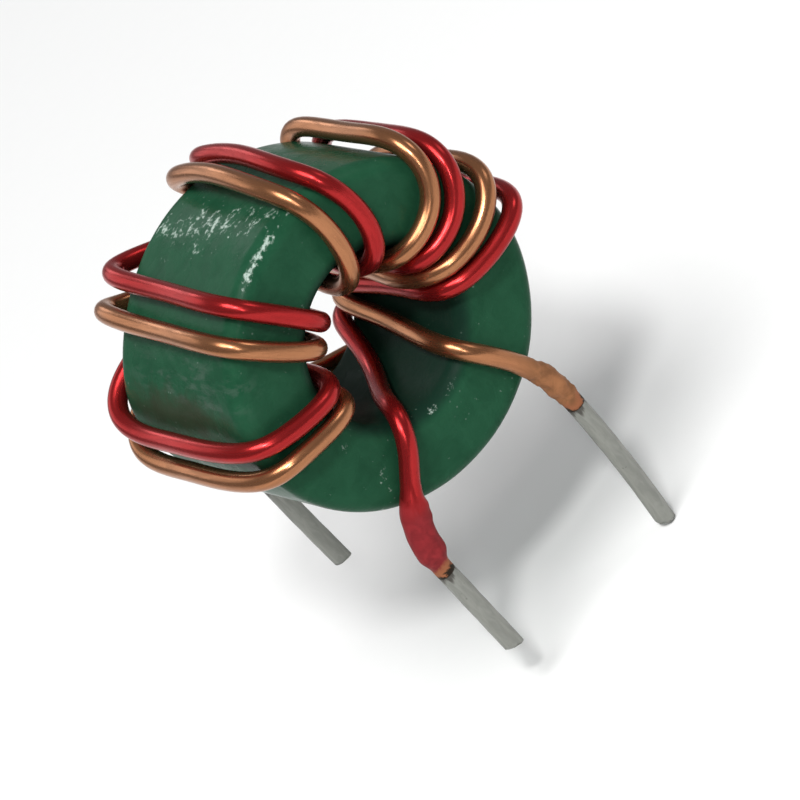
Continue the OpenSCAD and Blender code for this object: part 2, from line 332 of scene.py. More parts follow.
class WireWay:
    """The way of the wires round the ring, in metres from the ring's centre.

    Section points are (radius, depth); angles are in degrees from the top, clockwise from the front.
    """

    def __init__(self, ring, wire):
        self.off = wire.diameter / 2 + wire.gap
        self.edge = ring.edge
        self.middle = (ring.outer + ring.inner) / 2
        self.half_width = (ring.outer - ring.inner) / 2 - ring.edge
        self.face = ring.length / 2 + self.off
        self.rim = ring.outer + self.off
        self.bore = ring.inner - self.off
        self.bend_radius = ring.edge + self.off
        self.bend_depth = ring.length / 2 - ring.edge
        self.outer_bend = ring.outer - ring.edge
        self.inner_bend = ring.inner + ring.edge
        self.pitch = math.degrees(2 * math.asin((wire.diameter + wire.turn_gap) / 2 / self.bore))
        self.slack_places = (
            (Vector((self.rim, self.face)), Vector((1, 1)).normalized(), SLACK_REACH),
            (Vector((self.rim, 0)), Vector((1, 0)), ARCH_REACH),
            (Vector((self.rim, -self.face)), Vector((1, -1)).normalized(), SLACK_REACH),
            (Vector((self.bore, -MOUTH_DEPTH)), Vector((-1, 0)), MOUTH_REACH),
        )

    def bend(self, radius, depth, start, stop):
        middle = Vector((radius, depth))
        points = []
        for i in range(BEND_STEPS + 1):
            a = math.radians(mix(start, stop, i / BEND_STEPS))
            points.append(middle + self.bend_radius * Vector((math.cos(a), math.sin(a))))
        return points

    def run(self, p, q, steps):
        return [mix(Vector(p), Vector(q), i / steps) for i in range(1, steps)]

    def front(self):
        return (
            self.bend(self.outer_bend, -self.bend_depth, 0, -90)
            + self.run((self.outer_bend, -self.face), (self.inner_bend, -self.face), FACE_STEPS)
            + self.bend(self.inner_bend, -self.bend_depth, -90, -180)
        )

    def back(self):
        return (
            self.bend(self.inner_bend, self.bend_depth, 180, 90)
            + self.run((self.inner_bend, self.face), (self.outer_bend, self.face), FACE_STEPS)
            + self.bend(self.outer_bend, self.bend_depth, 90, 0)
        )

    def through(self):
        return self.run((self.bore, -self.bend_depth), (self.bore, self.bend_depth), PASS_STEPS)

    def across(self):
        return self.run((self.rim, self.bend_depth), (self.rim, -self.bend_depth), PASS_STEPS)

    def loosened(self, p, slack):
        """A section point, pushed off the ring near the places where the wire is loose."""
        moved = p
        for (place, toward, reach), amount in zip(self.slack_places, slack):
            away = (p - place).length / reach
            moved = moved + amount * MM * math.exp(-away * away) * toward
        return moved

    def on_ring(self, p, angle):
        return p.x * radial(angle) + Vector((0, p.y, 0))

    def laid(self, way, angle_at, slack, skipped=0):
        """Section points, laid on the ring at the angle that goes with each one's share of the way.

        A straight way skips a point at each end, which the bends beside it have.
        """
        last = len(way) - 1 + 2 * skipped
        points = []
        for i, p in enumerate(way):
            angle = angle_at((i + skipped) / last)
            points.append(self.on_ring(self.loosened(p, slack), angle))
        return points

    def carried(self, way, start, stop, ease=0, bow=0, slack=TAUT):
        """A way round the section, carried from one angle to another with a sideways bow."""
        return self.laid(way, lambda t: mix(start, stop, eased(t, ease)) + bow * hump(t), slack)

    def swept(self, start, stop, sweep, hook, slack):
        """The way over the back face, which swings round near the bore and may hook at the rim."""

        def angle_at(t):
            turned = eased(min(1, t / sweep), EASE_BACK)
            return mix(start, stop, turned) + hook * hump(max(0, 2 * t - 1))

        return self.laid(self.back(), angle_at, slack)

    def spread(self, way, start, stop, slack=TAUT):
        """The inner points of a straight way, spread evenly between two angles."""
        return self.laid(way, lambda t: mix(start, stop, t), slack, 1)

    def pass_angle(self, slot):
        return FIRST_PASS - slot * self.pitch

    def wound(self, turns):
        """From the front lead's way into the bore, turn by turn, to the last pass."""
        mouth = self.bend(self.inner_bend, -self.bend_depth, -90, -180)
        passes = [self.pass_angle(slot) for slot in turns.slots]
        points = self.carried(mouth, turns.exit, turns.exit)
        points += self.spread(self.through(), turns.exit, passes[0])
        for k, rim in enumerate(turns.rims):
            slack = (turns.backs[k], turns.arches[k], turns.fronts[k], turns.mouths[k])
            back_end = rim - RIM_LEAN / 2
            front_start = rim + RIM_LEAN / 2
            mouth_angle = passes[k + 1] + BORE_LEAN
            points += self.swept(passes[k], back_end, turns.sweeps[k], turns.hooks[k], slack)
            points += self.spread(self.across(), back_end, front_start, slack)
            points += self.carried(self.front(), front_start, mouth_angle, 1, turns.bows[k], slack)
            points += self.spread(self.through(), mouth_angle, passes[k + 1], slack)
        return points

    def front_lead(self, tip, turns):
        """From a front lead's strip line up to the edge of the bore."""
        foot = tip + STRAIGHT_END * UP
        edge = self.on_ring(Vector((self.inner_bend, -self.face)), turns.exit)
        out = edge + turns.reach * MM * radial(turns.exit)
        return [tip] + curve(foot, foot + turns.rise * MM * UP, out, edge, LEAD_STEPS)

    def fall(self, edge, out, tip):
        """From just past the edge of the bore down to a rear lead's strip line."""
        foot = tip + STRAIGHT_END * UP
        return curve(edge, out, foot + REAR_FALL * UP, foot, LEAD_STEPS)[1:] + [tip]

    def red_rear(self, tip):
        """From the red wire's last pass down the back of the ring."""
        last = self.pass_angle(RED_TURNS.slots[-1])
        edge = self.on_ring(Vector((self.inner_bend, self.face)), last)
        mouth = self.carried(self.bend(self.inner_bend, self.bend_depth, 180, 90), last, last)
        return mouth + self.fall(edge, edge + RED_REAR_RUN * radial(last), tip)

    def copper_rear(self, tip):
        """From the copper wire's last pass, under the hole, to the other side."""
        last = self.pass_angle(COPPER_TURNS.slots[-1])
        start = self.on_ring(Vector((self.bore, self.bend_depth)), last)
        mouth = []
        for i in range(BEND_STEPS + 1):
            a = math.radians(90 * i / BEND_STEPS)
            bent = (1 - math.cos(a)) * COPPER_REAR_AIM + math.sin(a) * Vector((0, 1, 0))
            mouth.append(start + self.bend_radius * bent)
        edge = mouth[-1]
        return mouth + self.fall(edge, edge + COPPER_REAR_RUN * COPPER_REAR_AIM, tip)

    def lifted(self, p):
        """A point of the wire's middle line, moved off the coat where it is too close."""
        radius = math.hypot(p.x, p.z)
        across = radius - self.middle
        past = (abs(across) - self.half_width, abs(p.y) - self.bend_depth)
        clear = Vector((max(past[0], 0), max(past[1], 0)))
        need = self.off - (clear.length + min(max(past), 0) - self.edge)
        if need <= 0 or clear.length == 0:
            return p
        step = need * clear.normalized()
        grow = 1 + math.copysign(step.x, across) / radius
        return Vector((p.x * grow, p.y + math.copysign(step.y, p.y), p.z * grow))

    def relaxed(self, path):
        """A path as stiff wire takes it: its bends evened out, and lifted off the coat, in turns."""
        start = path[:HELD_POINTS]
        end = path[-HELD_POINTS:]
        for _ in range(STIFF_ROUNDS):
            unbent = []
            for i in range(HELD_POINTS, len(path) - HELD_POINTS):
                near = path[i - 1] + path[i + 1]
                far = path[i - 2] + path[i + 2]
                unbent.append(self.lifted((10 * path[i] + 4 * near - far) / 16))
            path = start + unbent + end
        return path


def rounded_path(points, cuts):
    """A smooth line through every point, with this many pieces between neighbours."""
    path = []
    for i in range(len(points) - 1):
        a = points[max(i - 1, 0)]
        b = points[i]
        c = points[i + 1]
        d = points[min(i + 2, len(points) - 1)]
        for k in range(cuts):
            t = k / cuts
            bend = (2 * a - 5 * b + 4 * c - d) * t + (3 * b - a - 3 * c + d) * t * t
            path.append(b + 0.5 * t * (c - a + bend))
    return path + [points[-1]]


def even_path(points, step):
    """Points at even steps along a line of points."""
    kept = [points[0]]
    for p in points[1:]:
        if (p - kept[-1]).length > 0.1 * step:
            kept.append(p)
    marks = [0.0]
    for i in range(1, len(kept)):
        marks.append(marks[-1] + (kept[i] - kept[i - 1]).length)
    count = round(marks[-1] / step)
    path = []
    k = 0
    for i in range(count + 1):
        mark = marks[-1] * i / count
        while k < len(kept) - 2 and marks[k + 1] < mark:
            k += 1
        path.append(mix(kept[k], kept[k + 1], (mark - marks[k]) / (marks[k + 1] - marks[k])))
    return path


def lead_point(node, top):
    """Middle of a lead node's top or tip, in the part's frame."""
    low, high = (Vector(corner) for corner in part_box(node))
    return Vector(((low.x + high.x) / 2, (low.y + high.y) / 2, high.z if top else low.z))


def wire_lines(ring, wire):
    """The middle line of each wire, at even steps from its front strip line to its rear end.

    The tin covers the dipped length at the rear end.
    """
    way = WireWay(ring, wire)
    centre = Vector(ring.centre)
    lines = {}
    for label, turns, rear, dipped in (
        ("red", RED_TURNS, way.red_rear, REAR_DIP),
        ("copper", COPPER_TURNS, way.copper_rear, 0),
    ):
        tip = lead_point(label + "_front_lead", True) - centre
        end = lead_point(label + "_rear_lead", True) - centre
        points = way.front_lead(tip, turns) + way.wound(turns)[1:] + rear(end)
        line = rounded_path(way.relaxed(points), PATH_CUTS)
        path = [centre + p for p in even_path(line, WIRE_STEP)]
        lines[label] = path[:len(path) - round(dipped / WIRE_STEP)]
    return lines


def tube_rings(path):
    """For each point of a path: the point, two directions across it and the length so far."""
    rings = []
    across = Vector((0, 1, 0))
    along = 0.0
    for i, point in enumerate(path):
        heading = (path[min(i + 1, len(path) - 1)] - path[max(i - 1, 0)]).normalized()
        across = (across - across.dot(heading) * heading).normalized()
        along += (point - path[max(i - 1, 0)]).length
        rings.append((point, across, heading.cross(across), along))
    return rings


def tube(bm, path, sides, radius_at):
    """A closed tube along a path, made from a grid that is rolled round it.

    The vertex layer skin keeps the way round, as cosine and sine, and the way along in millimetres.
    """
    last = len(path) - 1
    skin = bm.verts.layers.float_vector.new("skin")
    bmesh.ops.create_grid(bm, x_segments=sides, y_segments=last, size=1)
    rings = tube_rings(path)
    for vert in bm.verts:
        turn = math.pi * (vert.co.x + 1)
        point, across, other, along = rings[round(last * (vert.co.y + 1) / 2)]
        out = math.cos(turn) * across + math.sin(turn) * other
        vert[skin] = Vector((math.cos(turn), math.sin(turn), along / MM))
        vert.co = point + out * radius_at(along, out)
    bmesh.ops.remove_doubles(bm, verts=bm.verts, dist=MERGE)
    bmesh.ops.holes_fill(bm, edges=[edge for edge in bm.edges if edge.is_boundary], sides=0)
    bmesh.ops.recalc_face_normals(bm, faces=bm.faces)
    return rings[-1][3]


def soften(bm, geom, offset, segments, affect):
    """Rounds corners or edges off with a bevel."""
    bmesh.ops.bevel(
        bm,
        geom=geom,
        offset=offset,
        offset_type="OFFSET",
        segments=segments,
        profile=0.5,
        affect=affect,
        material=-1,
    )


def mesh_object(name, bm, material):
    """Turns a bmesh into an object of the scene."""
    mesh = bpy.data.meshes.new(name)
    bm.to_mesh(mesh)
    bm.free()
    mesh.materials.append(material)
    thing = bpy.data.objects.new(name, mesh)
    bpy.context.scene.collection.objects.link(thing)
    return thing


def finished_piece(name, bm, material, node):
    """Turns a bmesh into a piece that rides on the part and stands for a CAD node."""
    for face in bm.faces:
        face.smooth = len(face.verts) <= 4
    piece = mesh_object(name, bm, material)
    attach(piece, "root")
    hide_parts(node)


class Graph:
    """Short ways to add nodes to a material's or a group's tree."""

    def __init__(self, tree):
        self.tree = tree

    def add(self, kind, inputs=None, **settings):
        """A new node with these settings, and its inputs linked or set."""
        node = self.tree.nodes.new(kind)
        for name, value in settings.items():
            setattr(node, name, value)
        for name, value in (inputs or {}).items():
            self.feed(node.inputs[name], value)
        return node

    def feed(self, socket, value):
        """Links another socket to this one, or sets it to a plain value."""
        if isinstance(value, bpy.types.NodeSocket):
            self.tree.links.new(value, socket)
        else:
            socket.default_value = value

    def place(self):
        return self.add("ShaderNodeTexCoord").outputs["Object"]

    def layer(self, name, output):
        return self.add("ShaderNodeAttribute", attribute_name=name).outputs[output]

    def stretch(self, vector, scale):
        inputs = {"Vector": vector, "Scale": scale}
        return self.add("ShaderNodeMapping", inputs).outputs["Vector"]

    def noise(self, vector, scale, detail=3, roughness=0.55, distortion=0):
        inputs = {
            "Vector": vector,
            "Scale": scale,
            "Detail": detail,
            "Roughness": roughness,
            "Distortion": distortion,
        }
        return self.add("ShaderNodeTexNoise", inputs).outputs["Fac"]

    def cells(self, vector, scale):
        inputs = {"Vector": vector, "Scale": scale}
        return self.add("ShaderNodeTexVoronoi", inputs).outputs["Distance"]

    def span(self, value, low, high, to_low=0.0, to_high=1.0):
        """A value, carried smoothly from one range to another and held at its ends."""
        inputs = {
            "Value": value,
            "From Min": low,
            "From Max": high,
            "To Min": to_low,
            "To Max": to_high,
        }
        node = self.add("ShaderNodeMapRange", inputs, interpolation_type="SMOOTHSTEP")
        return node.outputs["Result"]

    def maths(self, operation, a, b):
        return self.add("ShaderNodeMath", {0: a, 1: b}, operation=operation).outputs["Value"]

    def times(self, a, b):
        return self.maths("MULTIPLY", a, b)

    def plus(self, a, b):
        return self.maths("ADD", a, b)

    def tint(self, colour, mask, share, other):
        """A colour, moved towards another by this share of a mask."""
        return self.blend(self.times(mask, share), colour, other)

    def blend(self, factor, a, b):
        """A colour between a and b."""
        ends = (end if isinstance(end, bpy.types.NodeSocket) else (*end, 1) for end in (a, b))
        inputs = {"Factor": factor, **dict(zip("AB", ends))}
        return self.add("ShaderNodeMix", inputs, data_type="RGBA").outputs["Result"]

    def distance(self, vector, point):
        inputs = {0: vector, 1: point}
        return self.add("ShaderNodeVectorMath", inputs, operation="DISTANCE").outputs["Value"]

    def bump(self, height, strength, depth, normal=None):
        inputs = {"Height": height, "Strength": strength, "Distance": depth}
        if normal:
            inputs["Normal"] = normal
        return self.add("ShaderNodeBump", inputs).outputs["Normal"]

    def group(self, tree, inputs):
        return self.add("ShaderNodeGroup", inputs, node_tree=tree).outputs


def new_finish(name, plain):
    """A material with its graph and its shader, whose sockets take these plain values."""
    material = bpy.data.materials.new(name)
    material.use_nodes = True
    graph = Graph(material.node_tree)
    shader = material.node_tree.nodes["Principled BSDF"]
    for label, value in plain.items():
        shader.inputs[label].default_value = value
    return material, graph, shader


def new_group(name, inputs, outputs):
    """An empty shader group with float or vector inputs and float outputs."""
    tree = bpy.data.node_groups.new(name, "ShaderNodeTree")
    for label, kind, value in inputs:
        socket = tree.interface.new_socket(label, in_out="INPUT", socket_type=kind)
        if value is not None:
            socket.default_value = value
    for label in outputs:
        tree.interface.new_socket(label, in_out="OUTPUT", socket_type="NodeSocketFloat")
    graph = Graph(tree)
    return tree, graph, graph.add("NodeGroupInput").outputs, graph.add("NodeGroupOutput").inputs


def mottle_group():
    """Cloudy patches and a fine grain, shared by every finish on the part."""
    name = "mottle"
    if name in bpy.data.node_groups:
        return bpy.data.node_groups[name]
    inputs = (
        ("Vector", "NodeSocketVector", None),
        ("Patch Scale", "NodeSocketFloat", 400.0),
        ("Grain Scale", "NodeSocketFloat", 4000.0),
    )
    tree, graph, given, result = new_group(name, inputs, ("Patches", "Grain"))
    patches = graph.noise(given["Vector"], given["Patch Scale"], 4, 0.6, 0.6)
    grain = graph.noise(given["Vector"], given["Grain Scale"], 3, 0.6)
    graph.feed(result["Patches"], graph.span(patches, 0.3, 0.7))
    graph.feed(result["Grain"], grain)
    return tree


def specks_group():
    """Small scattered specks: dust on the coat, nibs in the enamel, pits in the tin and the ferrite."""
    name = "specks"
    if name in bpy.data.node_groups:
        return bpy.data.node_groups[name]
    inputs = (
        ("Vector", "NodeSocketVector", None),
        ("Scale", "NodeSocketFloat", 1500.0),
        ("Size", "NodeSocketFloat", 0.2),
        ("Cover", "NodeSocketFloat", 0.5),
    )
    tree, graph, given, result = new_group(name, inputs, ("Mask",))
    cell = graph.cells(given["Vector"], given["Scale"])
    edge = graph.times(given["Size"], 0.4)
    dots = graph.span(cell, given["Size"], edge)
    field = graph.noise(given["Vector"], graph.times(given["Scale"], 0.21), 2)
    top = graph.plus(given["Cover"], 0.08)
    where = graph.span(field, given["Cover"], top)
    graph.feed(result["Mask"], graph.times(dots, where))
    return tree


def mottle(graph, vector, patch_scale, grain_scale):
    return graph.group(
        mottle_group(), {"Vector": vector, "Patch Scale": patch_scale, "Grain Scale": grain_scale}
    )


def specks(graph, vector, scale, size, cover):
    outputs = graph.group(
        specks_group(), {"Vector": vector, "Scale": scale, "Size": size, "Cover": cover}
    )
    return outputs["Mask"]


def epoxy_finish():
    """Glossy dark green epoxy with dust, pale scuffs that are partly painted glints, a dark brown
    patch, pale streaks, painted shade in the bore and a grey smear there.
    """
    ring = bpy.context.scene.choke_ring
    centre = Vector(ring.centre)
    material, graph, shader = new_finish("green_epoxy", {"Specular IOR Level": 0.04})
    place = graph.place()
    cloud = mottle(graph, place, 260.0, 3200.0)
    fine = mottle(graph, place, 900.0, 9000.0)
    dark_patch_share = dark_patch_mask(graph, place, centre)
    bore_shade = bore_shade_mask(graph, place, centre)

    pale = tuple(1.35 * c + 0.004 for c in ring.green)
    colour = graph.blend(cloud["Patches"], tuple(ring.deep_green), tuple(ring.green))
    colour = graph.tint(colour, fine["Patches"], 0.35, pale)
    colour = graph.blend(veil_mask(graph, place, centre), colour, tuple(ring.veil))
    # A dark brown patch on the rim.
    colour = graph.blend(dark_patch_share, colour, tuple(ring.dark_patch))
    # Painted shade: the walls of the bore are darkened towards the bore colour.
    colour = graph.tint(colour, bore_shade, 0.75, tuple(ring.bore))
    colour = graph.tint(colour, smear_mask(graph, place, centre), 0.4, tuple(ring.smear))
    colour = graph.tint(colour, specks(graph, place, 2600.0, 0.2, 0.6), 0.35, tuple(ring.dust))
    # Pale scuffs, partly painted glints and highlights where the coat's gloss would sparkle.
    colour = graph.tint(colour, scuff_and_glint_mask(graph, place), 0.9, tuple(ring.scuffs_and_glints))
    graph.feed(shader.inputs["Base Color"], colour)

    rough = graph.span(cloud["Patches"], 0.0, 1.0, 0.2, 0.32)
    rough = graph.plus(rough, graph.times(dark_patch_share, 0.22))
    rough = graph.plus(rough, graph.times(bore_shade, 0.2))
    graph.feed(shader.inputs["Roughness"], rough)
    skin = graph.bump(fine["Patches"], 0.3, 0.04 * MM)
    skin = graph.bump(fine["Grain"], 0.3, 0.015 * MM, skin)
    graph.feed(shader.inputs["Normal"], skin)
    return material


def mark_place(centre, mark):
    """The place of a mark on the coat, in the part's frame."""
    angle, radius, depth = mark
    return centre + radius * MM * radial(angle) + Vector((0, depth * MM, 0))


def rim_distance(graph, place, middle):
    """How far a point of the rim is from a mark that is drawn out along the ring's axis."""
    squeezed = graph.stretch(place, (1.0, SQUEEZE, 1.0))
    return graph.distance(squeezed, Vector((middle.x, SQUEEZE * middle.y, middle.z)))


def dark_patch_mask(graph, place, centre):
    """A dark brown patch on the rim, above the last turns on the left."""
    rough = graph.noise(place, 900.0, 4, 0.65)
    far = rim_distance(graph, place, mark_place(centre, DARK_PATCH))
    ragged = graph.plus(far, graph.times(rough, 2.2 * MM))
    return graph.span(ragged, 3.0 * MM, 1.7 * MM, 0.0, 0.62)


def veil_mask(graph, place, centre):
    """Pale grey-green streaks across the rim, above the dark patch."""
    drawn = graph.stretch(place, (1.0, 0.45, 1.6))
    streaks = graph.span(graph.noise(drawn, 1300.0, 4, 0.65, 0.25), 0.46, 0.68)
    far = rim_distance(graph, place, mark_place(centre, VEIL))
    return graph.times(streaks, graph.span(far, 2.4 * MM, 0.8 * MM, 0.0, 0.45))


def bore_shade_mask(graph, place, centre):
    """The walls of the bore, where painted shade darkens the coat."""
    flat = graph.stretch(place, (1.0, 0.0, 1.0))
    return graph.span(graph.distance(flat, Vector((centre.x, 0, centre.z))), 5.6 * MM, 4.8 * MM)


def scuff_and_glint_mask(graph, place):
    """Broken pale scuffs where the coat was knocked, which are partly painted glints and highlights."""
    knocked_and_glinting = graph.layer("scuff_and_glint", "Fac")
    fine = graph.maths("SUBTRACT", graph.noise(place, 4200.0, 3, 0.7), 0.5)
    coarse = graph.maths("SUBTRACT", graph.noise(place, 1300.0, 2), 0.5)
    broken = graph.plus(graph.times(fine, 2.8), graph.times(coarse, 2.2))
    return graph.span(graph.plus(knocked_and_glinting, broken), 0.72, 1.4)


def smear_mask(graph, place, centre):
    """A thin grey smear of varnish inside the bore."""
    rough = graph.noise(place, 700.0, 4, 0.6)
    far = graph.distance(place, mark_place(centre, SMEAR))
    ragged = graph.plus(far, graph.times(rough, 2.6 * MM))
    return graph.span(ragged, 2.9 * MM, 1.8 * MM)


def ferrite_finish():
    """Dark sintered ferrite with a fine grain."""
    ring = bpy.context.scene.choke_ring
    material, graph, shader = new_finish("bare_ferrite", {"Roughness": 0.7})
    place = graph.place()
    cloud = mottle(graph, place, 700.0, 6000.0)
    pits = specks(graph, place, 4000.0, 0.3, 0.5)
    lighter = tuple(2.2 * c + 0.01 for c in ring.ferrite)
    colour = graph.blend(cloud["Patches"], tuple(ring.ferrite), lighter)
    colour = graph.blend(pits, colour, tuple(ring.ferrite_pits))
    graph.feed(shader.inputs["Base Color"], colour)
    graph.feed(shader.inputs["Normal"], graph.bump(cloud["Grain"], 0.4, 0.02 * MM))
    return material


def enamel_finish(name, fresh, dull, sheen):
    """Glossy enamel over copper that turns dull, scorched and charred towards a strip line."""
    wire = bpy.context.scene.choke_wire
    material, graph, shader = new_finish(name, {"Specular IOR Level": 0.1, "Coat Roughness": 0.2})
    skin = graph.layer("skin", "Vector")
    gap = graph.layer("end_gap", "Fac")
    place = graph.place()
    cloud = mottle(graph, graph.stretch(skin, (1.6, 1.6, 0.35)), 1.4, 9.0)
    blotch = mottle(graph, place, 1500.0, 5200.0)
    nibs = specks(graph, place, 1700.0, 0.16, 0.57)

    ragged = graph.plus(gap, graph.times(blotch["Patches"], -0.5))
    dulled = graph.span(ragged, 4.9, 3.3)
    burnt = graph.span(ragged, 0.7, 0.1)
    charred = graph.span(ragged, 0.02, -0.16)

    darker = tuple(0.62 * c for c in fresh)
    dull_low = tuple(0.72 * c for c in dull)
    dull_high = tuple(1.12 * c for c in dull)
    colour = graph.tint(tuple(fresh), cloud["Patches"], 0.5, darker)
    colour = graph.blend(dulled, colour, graph.blend(blotch["Patches"], dull_low, dull_high))
    colour = graph.blend(burnt, colour, tuple(wire.scorched))
    colour = graph.blend(charred, colour, tuple(wire.char))
    colour = graph.tint(colour, nibs, 0.5, tuple(0.35 * c for c in fresh))
    graph.feed(shader.inputs["Base Color"], colour)

    graph.feed(shader.inputs["Metallic"], graph.span(dulled, 0.0, 1.0, sheen, 0.0))
    rough = graph.span(cloud["Patches"], 0.0, 1.0, 0.21, 0.31)
    graph.feed(shader.inputs["Roughness"], graph.plus(rough, graph.times(dulled, 0.32)))
    graph.feed(shader.inputs["Coat Weight"], graph.span(dulled, 0.0, 1.0, 0.05, 0.0))
    relief = graph.bump(cloud["Grain"], 0.12, 0.01 * MM)
    crust = graph.times(blotch["Grain"], dulled)
    graph.feed(shader.inputs["Normal"], graph.bump(crust, 0.6, 0.03 * MM, relief))
    return material


def tin_finish():
    """Dull dipped tin with grey patches, pits and a dark residue near the enamel."""
    leads = bpy.context.scene.choke_leads
    char = tuple(bpy.context.scene.choke_wire.char)
    material, graph, shader = new_finish("dull_tin", {"Metallic": 0.35})
    skin = graph.layer("skin", "Vector")
    cloud = mottle(graph, graph.stretch(skin, (1.3, 1.3, 0.5)), 1.2, 11.0)
    pits = specks(graph, graph.place(), 2600.0, 0.2, 0.55)
    along = graph.add("ShaderNodeSeparateXYZ", {"Vector": skin})
    ragged = graph.plus(along.outputs["Z"], graph.times(cloud["Patches"], 0.9))
    colour = graph.blend(cloud["Patches"], tuple(leads.tin), tuple(leads.dark_tin))
    colour = graph.tint(colour, pits, 0.5, tuple(leads.pits))
    colour = graph.tint(colour, graph.span(ragged, 1.15, 0.65), 0.8, char)
    graph.feed(shader.inputs["Base Color"], colour)
    graph.feed(shader.inputs["Roughness"], graph.span(cloud["Patches"], 0.0, 1.0, 0.44, 0.58))
    graph.feed(shader.inputs["Normal"], graph.bump(cloud["Grain"], 0.2, 0.012 * MM))
    return material


def floor_finish():
    """Plain pale paper."""
    stage = bpy.context.scene.choke_stage
    material, graph, shader = new_finish("pale_paper", {"Roughness": 0.8})
    tooth = graph.noise(graph.place(), 900.0, 3)
    shade = tuple(0.985 * c for c in stage.floor)
    graph.feed(shader.inputs["Base Color"], graph.blend(tooth, tuple(stage.floor), shade))
    return material


def coat_section(bm, ring, inset):
    """The outline of the coat's section, or of its inside at an inset, as edges."""
    half = ring.length / 2 - inset
    width = ring.outer - ring.inner - 2 * inset
    middle = Vector(ring.centre) + Vector(((ring.outer + ring.inner) / 2, 0, 0))
    bmesh.ops.create_grid(bm, x_segments=1, y_segments=1, size=1)
    bmesh.ops.scale(bm, vec=(width / 2, half, 1), verts=bm.verts)
    soften(bm, list(bm.verts), ring.edge - inset, EDGE_STEPS, "VERTICES")
    bmesh.ops.delete(bm, geom=list(bm.faces), context="FACES_ONLY")
    bmesh.ops.translate(bm, vec=middle, verts=bm.verts)


def long_edges(bm, length):
    return [edge for edge in bm.edges if edge.calc_length() > length]


def coat_push(p, lumps):
    """How far the coat's surface stands out at a point, in metres.

    The point is in millimetres from the ring's centre, as it is for coat_lean and for the knocks and
    painted glints.
    """
    swell = noise.noise(0.33 * p + Vector((3.1, 0.7, 5.2)))
    ripple = noise.noise(0.9 * p + Vector((0.4, 9.1, 2.6)))
    crinkle = noise.noise(1.9 * p + Vector((7.7, 1.3, 4.9)))
    rise = 0.5 * swell + 0.1 * ripple + 0.03 * crinkle
    rise += knocks_and_glints(p) * (0.2 * ripple + 0.3 * crinkle)
    return lumps * (rise - 0.35)


def coat_lean(p):
    """How far a thicker or thinner dip moves the coat's outside, in millimetres."""
    angle = math.atan2(p.x, p.z)
    degrees = math.degrees(angle)
    radius = math.hypot(p.x, p.z)
    oval = -0.22 * math.cos(2 * angle) - 0.1 * math.sin(2 * angle)
    outside = smooth_step(5.5, 8.5, radius)
    grow = outside * oval
    grow += outside * smooth_step(-2, 4, p.y) * 0.25 * bell(degrees, -76, 16)
    back_edge = smooth_step(7.4, 8.8, radius) * smooth_step(0, 5, p.y)
    swell = back_edge * 0.95 * bell(degrees, -74, 28)
    return Vector((p.x * grow / radius, swell, p.z * grow / radius))


def knocks_and_glints(p):
    """How badly the coat was knocked, and where glints are painted: on the rim and its front ridge, the
    bore's mouth and the face. The ridge's sparkles and the spots at the bore's mouth are painted
    highlights.
    """
    angle = math.degrees(math.atan2(p.x, p.z))
    radius = math.hypot(p.x, p.z)
    wander = 5 * noise.noise(0.6 * p + Vector((2.2, 8.4, 1.7)))
    top = bell(angle + 0.8 * p.y + wander, -7, 8) * bell(p.y, 0, 6.5) if radius > 9 else 0
    ridge = bell(radius, 9.1, 0.24) * bell(p.y, -5.36, 0.24) * bell(angle, -16, 15)
    mouth = bell(radius, 5, 0.35) * bell(abs(angle), 172, 5) if p.y < -4.6 else 0
    face = bell(radius, 7.3, 1.3) * bell(angle, -133, 7) if p.y < -5 else 0
    return max(0.85 * top, 1.5 * ridge, 0.9 * mouth, 0.45 * face)


class CHOKE_OT_dress_core(bpy.types.Operator):
    """Gives the ferrite ring under the coat its own finish"""

    bl_idname = "choke.dress_core"
    bl_label = "Dress the core"

    def execute(self, context):
        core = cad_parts["ferrite_core"]
        core.data.materials.clear()
        core.data.materials.append(ferrite_finish())
        return {"FINISHED"}


